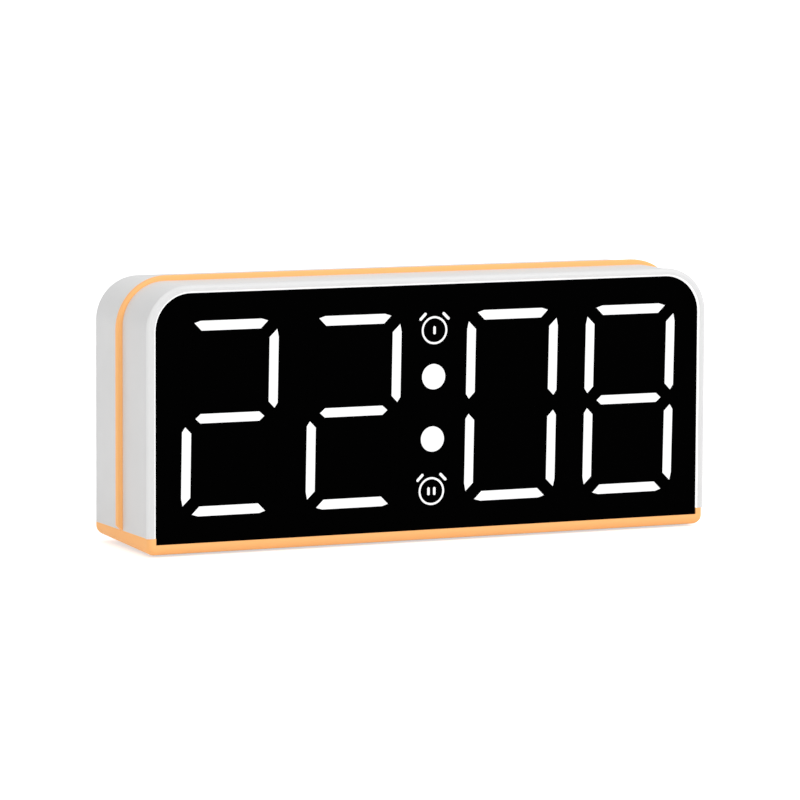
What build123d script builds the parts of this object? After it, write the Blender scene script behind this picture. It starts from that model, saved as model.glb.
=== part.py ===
from build123d import *
import os
from math import radians, tan

# Digital LED desk clock: a white two-part shell, an orange band and base tray, a black display face.
# Millimetres. +Z is up, the display faces -Y and +X is the viewer's right.
# The origin is at the middle of the footprint, on the surface that the feet stand on.

# Overall case
WIDTH = 159.5
HEIGHT = 69.3
DEPTH = 37.6
CORNER_RADIUS = 11.7
EDGE_RADIUS = 1.4
WALL = 2.4

# Orange band and base tray, which lie in one rebate of the shells
BAND_FROM_FRONT = 17.6
BAND_WIDTH = 2.16
BAND_PROUD = 1.3
BAND_EDGE = 0.4
BAND_EXTRA_RADIUS = 1.0
BAND_SIDE_GAP = 0.08
TRIM_THICKNESS = 1.2
TRIM_CLEARANCE = 0.1
SHELL_JOINT_GAP = 0.2
TRAY_FLOOR = 2.5
TRAY_LIP = 4.6
TRAY_SILL = 2.9
TRAY_EDGE_RADIUS = 2.3
TRAY_RISE = 1.3

# Rubber feet and the screws that hold the tray
FOOT_PROUD = 0.5
FOOT_POCKET = 1.8
FOOT_DIAMETER = 10.0
FOOT_CLEARANCE = 0.1
FOOT_FROM_SIDE = 12.0
FOOT_FROM_FRONT = 12.0
FOOT_EDGE = 0.2
BASE_SCREW_FROM_SIDE = 34.0
BASE_SCREW_FROM_REAR = 8.0
BASE_SCREW_LENGTH = 6.5
BASE_BOSS_RADIUS = 2.4
BASE_BOSS_RISE = 6.4

# Display face, its rim and the ledge behind it
RIM_SIDE = 2.43
RIM_TOP = 2.02
RIM_DEPTH = 1.3
RIM_STEP = 0.28
RIM_EDGE = 1.0
RIM_BREAK = 0.4
RIM_BREAK_ANGLE = 45.0
PANEL_RADIUS = 9.6
PANEL_THICKNESS = 2.0
PANEL_SETBACK = 0.15
PANEL_CLEARANCE = 0.1
LEDGE_WIDTH = 1.6
LEDGE_THICKNESS = 1.5

# Digits on the face
DIGIT_SIDE_MARGIN = 7.17
DIGIT_TOP_MARGIN = 7.12
DIGIT_LOW_MARGIN = 6.8
DIGIT_GAP = 8.2
COLON_ZONE = 18.7
DIGIT_LEAN = 0.9
BAR_WIDTH = 2.56
BAR_END_INNER = 3.72
BAR_END_TIP = 1.69
BAR_END_OUTER = 3.4
BAR_TIP_OUTWARD = 0.74
POST_END = 3.55
POST_TIP = 1.46
POST_TIP_OUTWARD = 0.85
WAIST_TIP = 1.93
WAIST_TIP_OUTWARD = 0.4
WAIST_INNER = 3.65
WAIST_OUTER = 3.25
MIDDLE_WIDTH = 2.45
MIDDLE_END = 3.75
MIDDLE_TIP = 2.35
DOT_DIAMETER = 6.68
DOT_SHARE = 0.343
ICON_FROM_TOP = 4.77
ICON_FROM_LOW = 3.24
ICON_RING = 7.35
ICON_STROKE = 0.58
ICON_BAR = (0.76, 2.2)
ICON_1_BARS = (0.0,)
ICON_2_BARS = (-0.83, 0.83)
ICON_TICK = (2.68, 0.8)
ICON_TICK_OFFSET = (3.28, 3.62)
ICON_TICK_ANGLE = 45.0
ICON_DEPTH = 1.2

# Light guides, reflector and boards
GUIDE_CLEARANCE = 0.05
GUIDE_LIP = 0.5
GUIDE_FLANGE = 0.9
REFLECTOR_DEPTH = 7.0
REFLECTOR_MARGIN = 2.2
REFLECTOR_CORNER = 3.0
WELL_MARGIN = 0.2
WELL_TAPER = 4.5
BOARD_THICKNESS = 1.6
BOARD_CLEARANCE = 0.4
BOARD_EDGE_RISE = 1.5
LED_SIZE = (2.0, 1.25, 0.8)
LED_SPREAD = 4.0
CHIP_SIZE = (9.0, 6.0, 1.4)
CHIP_EDGE = 0.35
CRYSTAL_SIZE = (11.0, 4.6, 3.5)
CRYSTAL_EDGE = 0.6
RIBBON_WIDTH = 14.0
RIBBON_THICKNESS = 0.3
RIBBON_RISE = 12.0
RIBBON_RADIUS = 1.5
SOCKET_SIZE = (17.0, 4.6, 2.4)

# Screws and the posts that they go into
SCREW_RADIUS = 1.1
SCREW_CLEARANCE = 0.1
SCREW_HEAD_RADIUS = 2.1
SCREW_HEAD_HEIGHT = 1.6
SCREW_HEAD_CLEARANCE = 0.2
SCREW_DRIVE = (2.4, 0.6, 0.8)
CASE_SEAT = 4.2
CASE_SCREW_GRIP = 7.0
POST_WALL = 1.1
POST_EMBED = 0.8
FRONT_POST_RADIUS = 2.8
POST_FROM_LOW = 13.5
POST_FROM_TOP = 14.5
LED_BOSS_RADIUS = 2.4
LED_BOSS_EMBED = 0.1
LED_BOSS_ABOVE_POST = 10.18
LED_BOSS_BELOW_POST = 8.62
BOARD_SCREW_LENGTH = 5.5
BOARD_POST_RADIUS = 2.2
BOARD_POST_INSET = 4.0

# Rear controls
RECESS_DEPTH = 1.0
RECESS_HEIGHT = 13.0
RECESS_END = 7.5
RECESS_CORNER = 3.0
BUTTON_NAMES = ("mode", "alarm", "up", "down", "snooze")
BUTTON_RADIUS = 3.8
BUTTON_CLEARANCE = 0.2
BUTTON_PITCH = 11.5
BUTTON_FROM_TOP = 14.5
BUTTON_FROM_BOARD_END = 12.0
BUTTON_PROUD = 0.7
BUTTON_END_GAP = 0.1
BUTTON_FLANGE = 1.0
BUTTON_FLANGE_LIP = 0.9
BUTTON_STEM = 0.9
BUTTON_STEM_RADIUS = 1.5
BUTTON_EDGE = 0.4
BUTTON_TRAVEL = 0.5
SWITCH_SIDE = 6.0
SWITCH_HEIGHT = 2.6
PLUNGER_RADIUS = 1.7
PLUNGER_CLEARANCE = 0.1
PLUNGER_PROUD = 0.9
PLUNGER_DEPTH = 0.8
DIMMER_STEP = 14.0
DIMMER_BODY = (10.0, 5.0, 3.4)
DIMMER_KNOB = (3.0, 2.2)
DIMMER_KNOB_DEPTH = 0.9
DIMMER_TRAVEL = 2.0
DIMMER_CLEARANCE = 0.3
DIMMER_PROUD = 0.7
DIMMER_RIB = 0.3
DIMMER_RIBS = 3

# Power inlet and buzzer
INLET_SIZE = (8.94, 3.26)
INLET_WALL = 0.3
INLET_SETBACK = 0.3
INLET_CLEARANCE = 0.2
INLET_BASE = 2.0
INLET_TONGUE = (6.7, 0.7)
INLET_TONGUE_SETBACK = 0.8
INLET_RISE = 16.0
INLET_SHIFT = 10.0
BUZZER_RADIUS = 6.0
BUZZER_HEIGHT = 4.6
BUZZER_RISE = 10.0
BUZZER_PORT = 1.0
BUZZER_EDGE = 0.4
SOUND_HOLE_RADIUS = 0.8
SOUND_RING_RADIUS = 3.4
SOUND_HOLES = 6

# Backup cell and its twist-lock cover
CELL_RADIUS = 10.0
CELL_THICKNESS = 3.2
CELL_STEP = 0.5
CELL_CLEARANCE = 0.2
BAY_RISE = 26.0
BAY_WALL = 1.3
BAY_FLOOR = 1.0
BAY_FROM_POST = 1.5
COVER_FLANGE = 0.9
COVER_GAP = 0.1
COVER_SETBACK = 0.2
COVER_HUB_RADIUS = 11.5
COVER_LIP = 2.5
COVER_CLEARANCE = 0.2
COVER_SLOT = (13.0, 1.8, 0.6)
LUG_LENGTH = 1.7
LUG_THICKNESS = 0.9
LUG_WIDTH = 6.0
LUG_PLAY = 0.3
UNLOCK_TURN = 60.0
CONTACT_THICKNESS = 0.3
CONTACT_WIDTH = 4.0
CONTACT_TAIL = 3.0
CONTACT_SLOT = 3.9
CONTACT_CLEARANCE = 0.2
CONTACT_DIMPLE = 1.6
CONTACT_SLOPE = 30.0

# Levels from the table up, and depths from the front back
front = -DEPTH / 2
rear = DEPTH / 2
half_width = WIDTH / 2
body_half = half_width - RIM_STEP
body_top = HEIGHT - RIM_STEP
body_radius = CORNER_RADIUS - RIM_STEP
body_front = front + RIM_DEPTH
tray_low = FOOT_PROUD
floor_top = tray_low + TRAY_FLOOR
sill_top = tray_low + TRAY_SILL
lip_top = tray_low + TRAY_LIP
band_front = front + BAND_FROM_FRONT
band_rear = band_front + BAND_WIDTH
split_front = (band_front + band_rear - SHELL_JOINT_GAP) / 2
split_rear = split_front + SHELL_JOINT_GAP
rebate = TRIM_THICKNESS + TRIM_CLEARANCE
cavity_half = body_half - WALL
cavity_low = floor_top + WALL
cavity_top = body_top - WALL
wall_inner = rear - WALL

# Display face
panel_half = half_width - RIM_SIDE
panel_top = HEIGHT - RIM_TOP
panel_front = front + PANEL_SETBACK
panel_back = panel_front + PANEL_THICKNESS
ledge_back = panel_back + LEDGE_THICKNESS
flange_back = panel_back + GUIDE_FLANGE
reflector_back = flange_back + REFLECTOR_DEPTH
led_board_back = reflector_back + BOARD_THICKNESS
tray_front_wall = panel_back - TRIM_CLEARANCE - front

# Digits
digit_half = (panel_half - DIGIT_SIDE_MARGIN - COLON_ZONE / 2 - DIGIT_GAP) / 4
inner_digit = COLON_ZONE / 2 + digit_half
outer_digit = inner_digit + 2 * digit_half + DIGIT_GAP
digit_top = panel_top - DIGIT_TOP_MARGIN
digit_low = sill_top + DIGIT_LOW_MARGIN
digit_mid = (digit_top + digit_low) / 2
bar_x = digit_half - BAR_WIDTH / 2
bar_z = (digit_top - digit_low) / 2 - BAR_WIDTH / 2
dot_levels = (digit_mid - DOT_SHARE * bar_z, digit_mid + DOT_SHARE * bar_z)
lean = tan(radians(DIGIT_LEAN))
digit_centres = {
    "hours_tens": -outer_digit,
    "hours_units": -inner_digit,
    "minutes_tens": inner_digit,
    "minutes_units": outer_digit,
}
lit_bars = {
    "hours_tens": "abdeg",
    "hours_units": "abdeg",
    "minutes_tens": "abcdef",
    "minutes_units": "abcdefg",
}
ALL_BARS = "abcdefg"
alarm_1_level = digit_top - ICON_FROM_TOP
alarm_2_level = digit_low + ICON_FROM_LOW

# Screw posts of the case
screw_hole = SCREW_RADIUS + SCREW_CLEARANCE
head_hole = SCREW_HEAD_RADIUS + SCREW_HEAD_CLEARANCE
post_radius = head_hole + POST_WALL
post_x = cavity_half + POST_EMBED - post_radius
post_levels = (tray_low + POST_FROM_LOW, HEIGHT - POST_FROM_TOP)
post_spots = [(side * post_x, level) for side in (-1, 1) for level in post_levels]
case_seat = split_rear + CASE_SEAT
case_screw_tip = split_front - CASE_SCREW_GRIP

# Reflector and display board
reflector_half = post_x - FRONT_POST_RADIUS - BOARD_CLEARANCE
reflector_low = digit_low - REFLECTOR_MARGIN
reflector_top = digit_top + REFLECTOR_MARGIN
led_board_half = cavity_half - BOARD_CLEARANCE
led_board_low = reflector_low + BOARD_EDGE_RISE
led_board_top = cavity_top - BOARD_CLEARANCE
led_boss_x = cavity_half - LED_BOSS_RADIUS + LED_BOSS_EMBED
led_boss_levels = (post_levels[0] + LED_BOSS_ABOVE_POST, post_levels[1] - LED_BOSS_BELOW_POST)
led_boss_spots = [(side * led_boss_x, level) for side in (-1, 1) for level in led_boss_levels]

# Rear controls and main board, set back from the inside of the rear wall
recess_floor = rear - RECESS_DEPTH
button_flange_rear = wall_inner - BUTTON_END_GAP
button_flange_front = button_flange_rear - BUTTON_FLANGE
plunger_top = button_flange_front - BUTTON_STEM
switch_top = plunger_top - PLUNGER_PROUD
main_rear = switch_top - SWITCH_HEIGHT
main_front = main_rear - BOARD_THICKNESS
main_left = -(post_x - post_radius - BAY_FROM_POST)
button_level = HEIGHT - BUTTON_FROM_TOP
button_x = [main_left + BUTTON_FROM_BOARD_END + BUTTON_PITCH * i for i in range(len(BUTTON_NAMES))]
dimmer_x = button_x[-1] + DIMMER_STEP
recess_left = button_x[0] - RECESS_END
recess_right = dimmer_x + RECESS_END
inlet_level = tray_low + INLET_RISE
inlet_x = -INLET_SHIFT
buzzer_x = button_x[1]
buzzer_level = inlet_level + BUZZER_RISE

# Backup cell, stacked from the level of the main board to the cover
lug_reach = COVER_HUB_RADIUS + LUG_LENGTH
groove_radius = lug_reach + LUG_PLAY
lug_rear = wall_inner - LUG_PLAY
lug_front = lug_rear - LUG_THICKNESS
cell_rear = lug_front - CELL_CLEARANCE
cell_front = cell_rear - CELL_THICKNESS
bay_floor = main_rear
cell_bore = CELL_RADIUS + CELL_CLEARANCE
cup_radius = cell_bore + BAY_WALL
bay_radius = groove_radius + BAY_WALL
bay_x = post_x - post_radius - BAY_FROM_POST - bay_radius
bay_level = tray_low + BAY_RISE
cover_face = rear - COVER_SETBACK
cover_seat = cover_face - COVER_FLANGE - COVER_GAP
main_right = bay_x - cup_radius - BOARD_CLEARANCE
main_low = inlet_level - RECESS_HEIGHT / 2
main_top = button_level + RECESS_HEIGHT / 2
main_posts = [
    (x, level)
    for x in (main_left + BOARD_POST_INSET, main_right - BOARD_POST_INSET)
    for level in (main_low + BOARD_POST_INSET, main_top - BOARD_POST_INSET)
]

# Tray screws: one pair into each shell
base_screw_x = half_width - BASE_SCREW_FROM_SIDE
base_screw_front = led_board_back + BOARD_CLEARANCE + BASE_BOSS_RADIUS
base_screw_rear = rear - BASE_SCREW_FROM_REAR
foot_spots = [
    (x_side * (half_width - FOOT_FROM_SIDE), y_side * (rear - FOOT_FROM_FRONT))
    for x_side in (-1, 1)
    for y_side in (-1, 1)
]


def at_depth(depth):
    """Plane square to the depth of the clock, seen from the front: local x is X and local y is Z."""
    return Plane(origin=(0, depth, 0), x_dir=(1, 0, 0), z_dir=(0, -1, 0))


def arch(half, low, top, radius, mode=Mode.ADD):
    """Draw an outline that is rounded at its two upper corners and square below."""
    with Locations((0, (low + top) / 2)):
        RectangleRounded(2 * half, top - low, radius, mode=mode)
    with Locations((0, low + radius)):
        Rectangle(2 * half, 2 * radius, mode=mode)


def underside(depth):
    """Level of the tray's sloping underside at a depth."""
    return tray_low + TRAY_RISE * (depth - front) / DEPTH


def save(builder, name):
    """Label a finished piece and write its file."""
    builder.part.label = name
    export_step(builder.part, f"parts/{name}.step")


def bar_outline(bar):
    """Six corners of one display bar, measured from the middle of its digit."""
    if bar == "g":
        rise = MIDDLE_WIDTH / 2
        long_x = bar_x - MIDDLE_END
        tip_x = bar_x - MIDDLE_TIP
        return [(-tip_x, 0), (-long_x, -rise), (long_x, -rise), (tip_x, 0), (long_x, rise), (-long_x, rise)]
    half = BAR_WIDTH / 2
    if bar in "ad":
        up = 1 if bar == "a" else -1
        inner = bar_x - BAR_END_INNER
        tip = bar_x - BAR_END_TIP
        outer = bar_x - BAR_END_OUTER
        tip_z = bar_z + BAR_TIP_OUTWARD
        corners = [
            (-inner, bar_z - half),
            (inner, bar_z - half),
            (tip, tip_z),
            (outer, bar_z + half),
            (-outer, bar_z + half),
            (-tip, tip_z),
        ]
        return [(x, up * z) for x, z in corners]
    right = 1 if bar in "bc" else -1
    up = 1 if bar in "bf" else -1
    corners = [
        (bar_x - half, WAIST_INNER),
        (bar_x + WAIST_TIP_OUTWARD, WAIST_TIP),
        (bar_x + half, WAIST_OUTER),
        (bar_x + half, bar_z - POST_END),
        (bar_x + POST_TIP_OUTWARD, bar_z - POST_TIP),
        (bar_x - half, bar_z - POST_END),
    ]
    return [(right * x, up * z) for x, z in corners]


def bar_leds(bar):
    """Places of the two LEDs behind one bar, measured from the middle of its digit."""
    if bar in "adg":
        level = {"a": bar_z, "g": 0, "d": -bar_z}[bar]
        return [(-LED_SPREAD, level), (LED_SPREAD, level)]
    right = 1 if bar in "bc" else -1
    up = 1 if bar in "bf" else -1
    middle = (bar_z - POST_END + WAIST_INNER) / 2
    return [(right * bar_x, up * (middle - LED_SPREAD)), (right * bar_x, up * (middle + LED_SPREAD))]


def leaned(x, level):
    """A point of the display, moved sideways by the lean of the digits."""
    return (x + (level - digit_mid) * lean, level)


def draw_bars(digit, bars):
    """Draw the named bars of one digit."""
    for bar in bars:
        corners = [leaned(digit_centres[digit] + x, digit_mid + z) for x, z in bar_outline(bar)]
        Polygon(*corners, align=None)


def draw_dots():
    """Draw the two dots between hours and minutes."""
    with Locations(*[leaned(0, level) for level in dot_levels]):
        Circle(DOT_DIAMETER / 2)


def draw_icon(level, bars, grow):
    """Draw an alarm-clock sign: a ring with two bells, and bars at the given places across it."""
    centre_x, centre_z = leaned(0, level)
    tick_x, tick_z = ICON_TICK_OFFSET
    with Locations((centre_x, centre_z)):
        Circle(ICON_RING / 2 + grow)
        Circle(ICON_RING / 2 - ICON_STROKE - grow, mode=Mode.SUBTRACT)
    for bar_shift in bars:
        with Locations((centre_x + bar_shift, centre_z)):
            SlotOverall(ICON_BAR[1] + 2 * grow, ICON_BAR[0] + 2 * grow, rotation=90)
    for side in (-1, 1):
        with Locations((centre_x + side * tick_x, centre_z + tick_z)):
            SlotOverall(ICON_TICK[0] + 2 * grow, ICON_TICK[1] + 2 * grow, rotation=-ICON_TICK_ANGLE * side)


os.makedirs("parts", exist_ok=True)

# Front shell: an arch-shaped frame with the rim of the face, the ledge behind it and the screw posts
with BuildPart() as front_shell:
    with BuildSketch(at_depth(front)):
        arch(half_width, lip_top, HEIGHT, CORNER_RADIUS)
    extrude(amount=-RIM_DEPTH)
    fillet(front_shell.edges().group_by(Axis.Y)[0].sort_by(Axis.Z)[1:], RIM_EDGE)
    with BuildSketch(at_depth(body_front)):
        arch(body_half, lip_top, body_top, body_radius)
    extrude(amount=body_front - band_front)
    with BuildSketch(at_depth(panel_back)):
        arch(body_half - rebate, floor_top, body_top - rebate, body_radius - rebate)
    extrude(amount=panel_back - split_front)
    with BuildSketch(at_depth(ledge_back)):
        arch(cavity_half, cavity_low, cavity_top, body_radius - WALL)
    extrude(amount=ledge_back - split_front, mode=Mode.SUBTRACT)
    with BuildSketch(at_depth(panel_back)):
        arch(
            panel_half - LEDGE_WIDTH,
            cavity_low + LEDGE_WIDTH,
            panel_top - LEDGE_WIDTH,
            PANEL_RADIUS - LEDGE_WIDTH,
        )
    extrude(amount=-LEDGE_THICKNESS, mode=Mode.SUBTRACT)
    with BuildSketch(at_depth(front)):
        arch(panel_half, floor_top, panel_top, PANEL_RADIUS)
    extrude(amount=front - panel_back, mode=Mode.SUBTRACT)
    with BuildSketch(at_depth(front)):
        arch(panel_half + RIM_BREAK, floor_top, panel_top + RIM_BREAK, PANEL_RADIUS + RIM_BREAK)
    extrude(amount=-RIM_BREAK, taper=RIM_BREAK_ANGLE, mode=Mode.SUBTRACT)
    with BuildSketch(at_depth(ledge_back)):
        with Locations(*post_spots):
            Circle(FRONT_POST_RADIUS)
    extrude(amount=ledge_back - split_front)
    with BuildSketch(at_depth(ledge_back)):
        with Locations(*led_boss_spots):
            Circle(LED_BOSS_RADIUS)
    extrude(amount=ledge_back - reflector_back)
    with BuildSketch(Plane.XY.offset(cavity_low)):
        with Locations((-base_screw_x, base_screw_front), (base_screw_x, base_screw_front)):
            Circle(BASE_BOSS_RADIUS)
    extrude(amount=BASE_BOSS_RISE - WALL)
    with BuildSketch(at_depth(split_front)):
        with Locations(*post_spots):
            Circle(screw_hole)
    extrude(amount=CASE_SCREW_GRIP + SCREW_RADIUS, mode=Mode.SUBTRACT)
    with BuildSketch(at_depth(reflector_back)):
        with Locations(*led_boss_spots):
            Circle(screw_hole)
    extrude(amount=BOARD_SCREW_LENGTH - BOARD_THICKNESS + SCREW_RADIUS, mode=Mode.SUBTRACT)
    with BuildSketch(Plane.XY.offset(floor_top)):
        with Locations((-base_screw_x, base_screw_front), (base_screw_x, base_screw_front)):
            Circle(screw_hole)
    extrude(amount=BASE_BOSS_RISE - SCREW_RADIUS, mode=Mode.SUBTRACT)
save(front_shell, "front_shell")

# Orange band: an arch in the groove between the two shells, proud of them, that runs out on to the tray
strip_width = BAND_WIDTH - 2 * BAND_SIDE_GAP
with BuildPart() as trim_band:
    with BuildSketch(at_depth(band_front + BAND_SIDE_GAP)):
        arch(
            body_half + BAND_PROUD,
            lip_top,
            body_top + BAND_PROUD,
            body_radius + BAND_PROUD + BAND_EXTRA_RADIUS,
        )
    extrude(amount=-strip_width)
    fillet(trim_band.edges().group_by(Axis.Y)[0].sort_by(Axis.Z)[1:], BAND_EDGE)
    fillet(trim_band.edges().group_by(Axis.Y)[-1].sort_by(Axis.Z)[1:], BAND_EDGE)
    with BuildSketch(at_depth(band_front + BAND_SIDE_GAP)):
        arch(
            body_half - TRIM_THICKNESS,
            floor_top,
            body_top - TRIM_THICKNESS,
            body_radius - TRIM_THICKNESS,
        )
        for side in (-1, 1):
            Polygon(
                (side * body_half, lip_top),
                (side * (body_half + 2 * BAND_PROUD), lip_top),
                (side * (body_half + 2 * BAND_PROUD), lip_top + 2 * BAND_PROUD),
                align=None,
            )
    extrude(amount=-strip_width, mode=Mode.SUBTRACT)
save(trim_band, "trim_band")

# Rear shell: the moulded back with its control recess, battery bay, sound holes and screw posts
with BuildPart() as rear_shell:
    with BuildSketch(at_depth(band_rear)):
        arch(body_half, lip_top, body_top, body_radius)
    extrude(amount=band_rear - rear)
    fillet(rear_shell.edges().group_by(Axis.Y)[-1].sort_by(Axis.Z)[1:], EDGE_RADIUS)
    with BuildSketch(at_depth(split_rear)):
        arch(body_half - rebate, floor_top, body_top - rebate, body_radius - rebate)
    extrude(amount=split_rear - rear + rebate)
    with BuildSketch(at_depth(split_rear)):
        arch(cavity_half, cavity_low, cavity_top, body_radius - WALL)
    extrude(amount=split_rear - wall_inner, mode=Mode.SUBTRACT)
    with BuildSketch(at_depth(split_rear)):
        with Locations(*post_spots):
            Circle(post_radius)
    extrude(amount=split_rear - wall_inner)
    with BuildSketch(at_depth(main_rear)):
        with Locations(*main_posts):
            Circle(BOARD_POST_RADIUS)
    extrude(amount=main_rear - wall_inner)
    with BuildSketch(Plane.XY.offset(cavity_low)):
        with Locations((-base_screw_x, base_screw_rear), (base_screw_x, base_screw_rear)):
            Circle(BASE_BOSS_RADIUS)
    extrude(amount=BASE_BOSS_RISE - WALL)
    with BuildSketch(at_depth(cell_rear - BAY_WALL)):
        with Locations((bay_x, bay_level)):
            Circle(bay_radius)
    extrude(amount=cell_rear - BAY_WALL - wall_inner)
    with BuildSketch(at_depth(bay_floor - BAY_FLOOR)):
        with Locations((bay_x, bay_level)):
            Circle(cup_radius)
    extrude(amount=bay_floor - BAY_FLOOR - cell_rear)
    with BuildSketch(at_depth(bay_floor)):
        with Locations((bay_x, bay_level)):
            Circle(cell_bore)
    extrude(amount=bay_floor - wall_inner, mode=Mode.SUBTRACT)
    with BuildSketch(at_depth(cell_rear)):
        with Locations((bay_x, bay_level)):
            Circle(groove_radius)
    extrude(amount=cell_rear - wall_inner, mode=Mode.SUBTRACT)
    with BuildSketch(at_depth(wall_inner)):
        with Locations((bay_x, bay_level)):
            Circle(COVER_HUB_RADIUS + COVER_CLEARANCE)
            Rectangle(2 * groove_radius, LUG_WIDTH + 2 * LUG_PLAY, rotation=-UNLOCK_TURN)
    extrude(amount=wall_inner - rear, mode=Mode.SUBTRACT)
    with BuildSketch(at_depth(cover_seat)):
        with Locations((bay_x, bay_level)):
            Circle(COVER_HUB_RADIUS + COVER_LIP + COVER_CLEARANCE)
    extrude(amount=cover_seat - rear, mode=Mode.SUBTRACT)
    with BuildSketch(at_depth(bay_floor)):
        with Locations((bay_x - cup_radius, bay_level)):
            Rectangle(CONTACT_SLOT, CONTACT_WIDTH + 2 * CONTACT_CLEARANCE)
        with Locations((bay_x, bay_level + cup_radius)):
            Rectangle(CONTACT_WIDTH + 2 * CONTACT_CLEARANCE, CONTACT_SLOT)
    extrude(amount=bay_floor - cell_rear, mode=Mode.SUBTRACT)
    with BuildSketch(at_depth(recess_floor)):
        with Locations(((recess_left + recess_right) / 2, button_level)):
            RectangleRounded(recess_right - recess_left, RECESS_HEIGHT, RECESS_CORNER)
    extrude(amount=-RECESS_DEPTH, mode=Mode.SUBTRACT)
    with BuildSketch(at_depth(wall_inner)):
        with Locations(*[(x, button_level) for x in button_x]):
            Circle(BUTTON_RADIUS + BUTTON_CLEARANCE)
        with Locations((dimmer_x, button_level)):
            Rectangle(
                DIMMER_KNOB[0] + 2 * (DIMMER_TRAVEL + DIMMER_CLEARANCE),
                DIMMER_KNOB[1] + 2 * DIMMER_CLEARANCE,
            )
        with Locations((inlet_x, inlet_level)):
            SlotOverall(INLET_SIZE[0] + 2 * INLET_CLEARANCE, INLET_SIZE[1] + 2 * INLET_CLEARANCE)
        with Locations((buzzer_x, buzzer_level)):
            Circle(SOUND_HOLE_RADIUS)
            with PolarLocations(SOUND_RING_RADIUS, SOUND_HOLES):
                Circle(SOUND_HOLE_RADIUS)
    extrude(amount=-WALL, mode=Mode.SUBTRACT)
    with BuildSketch(at_depth(split_rear)):
        with Locations(*post_spots):
            Circle(screw_hole)
    extrude(amount=split_rear - case_seat, mode=Mode.SUBTRACT)
    with BuildSketch(at_depth(case_seat)):
        with Locations(*post_spots):
            Circle(head_hole)
    extrude(amount=case_seat - rear, mode=Mode.SUBTRACT)
    with BuildSketch(at_depth(main_rear)):
        with Locations(*main_posts):
            Circle(screw_hole)
    extrude(amount=BOARD_THICKNESS - BOARD_SCREW_LENGTH - SCREW_RADIUS, mode=Mode.SUBTRACT)
    with BuildSketch(Plane.XY.offset(floor_top)):
        with Locations((-base_screw_x, base_screw_rear), (base_screw_x, base_screw_rear)):
            Circle(screw_hole)
    extrude(amount=BASE_BOSS_RISE - SCREW_RADIUS, mode=Mode.SUBTRACT)
save(rear_shell, "rear_shell")

# Base tray: an underside that rises to the rear, a lip round three sides and a low sill under the face
with BuildPart() as base_tray:
    with BuildSketch(Plane.XY.offset(tray_low)):
        RectangleRounded(2 * body_half, DEPTH, EDGE_RADIUS)
    extrude(amount=TRAY_LIP)
    with BuildSketch(Plane.YZ.offset(-half_width)):
        Polygon((front, tray_low), (rear, tray_low), (rear, tray_low + TRAY_RISE), align=None)
    extrude(amount=WIDTH, mode=Mode.SUBTRACT)
    fillet(base_tray.faces().sort_by(Axis.Z)[0].edges(), TRAY_EDGE_RADIUS)
    pocket_front = front + tray_front_wall
    pocket_rear = rear - TRIM_THICKNESS
    with BuildSketch(Plane.XY.offset(floor_top)):
        with Locations((0, (pocket_front + pocket_rear) / 2)):
            Rectangle(2 * (body_half - TRIM_THICKNESS), pocket_rear - pocket_front)
    extrude(amount=TRAY_LIP, mode=Mode.SUBTRACT)
    with BuildSketch(at_depth(front)):
        with Locations((0, sill_top + TRAY_LIP / 2)):
            Rectangle(2 * panel_half, TRAY_LIP)
    extrude(amount=-tray_front_wall, mode=Mode.SUBTRACT)
    with BuildSketch(Plane.XY.offset(tray_low)):
        with Locations(*foot_spots):
            Circle(FOOT_DIAMETER / 2 + FOOT_CLEARANCE)
    extrude(amount=FOOT_POCKET, mode=Mode.SUBTRACT)
    for side in (-1, 1):
        for depth in (base_screw_front, base_screw_rear):
            with Locations(Plane(origin=(side * base_screw_x, depth, underside(depth)), z_dir=(0, 0, -1))):
                CounterSinkHole(screw_hole, head_hole, TRAY_FLOOR)
save(base_tray, "base_tray")

with BuildPart() as rubber_feet:
    with BuildSketch(Plane.XY):
        with Locations(*foot_spots):
            Circle(FOOT_DIAMETER / 2)
    extrude(amount=FOOT_PROUD + FOOT_POCKET)
    chamfer(rubber_feet.edges().group_by(Axis.Z)[0], FOOT_EDGE)
save(rubber_feet, "rubber_feet")

# Display face: the black panel with a window for each bar and dot, and pockets for the two alarm signs
with BuildPart() as display_panel:
    with BuildSketch(at_depth(panel_front)):
        arch(panel_half - PANEL_CLEARANCE, sill_top, panel_top - PANEL_CLEARANCE, PANEL_RADIUS - PANEL_CLEARANCE)
    extrude(amount=-PANEL_THICKNESS)
    with BuildSketch(at_depth(panel_front)):
        for digit in digit_centres:
            draw_bars(digit, ALL_BARS)
        draw_dots()
    extrude(amount=-PANEL_THICKNESS, mode=Mode.SUBTRACT)
    with BuildSketch(at_depth(panel_front)):
        draw_icon(alarm_1_level, ICON_1_BARS, 0)
        draw_icon(alarm_2_level, ICON_2_BARS, 0)
    extrude(amount=-ICON_DEPTH, mode=Mode.SUBTRACT)
save(display_panel, "display_panel")

# Light guides: each bar is a plug flush with the face, with a flange behind the panel
guide_groups = {f"{digit}_segments": {digit: bars} for digit, bars in lit_bars.items()}
guide_groups["unlit_segments"] = {
    digit: [bar for bar in ALL_BARS if bar not in bars] for digit, bars in lit_bars.items()
}
for name, group in guide_groups.items():
    with BuildPart() as light_guides:
        with BuildSketch(at_depth(panel_front)):
            for digit, bars in group.items():
                draw_bars(digit, bars)
            offset(amount=-GUIDE_CLEARANCE, kind=Kind.INTERSECTION)
        extrude(amount=-PANEL_THICKNESS)
        with BuildSketch(at_depth(panel_back)):
            for digit, bars in group.items():
                draw_bars(digit, bars)
            offset(amount=GUIDE_LIP, kind=Kind.INTERSECTION)
        extrude(amount=-GUIDE_FLANGE)
    save(light_guides, name)

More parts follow.
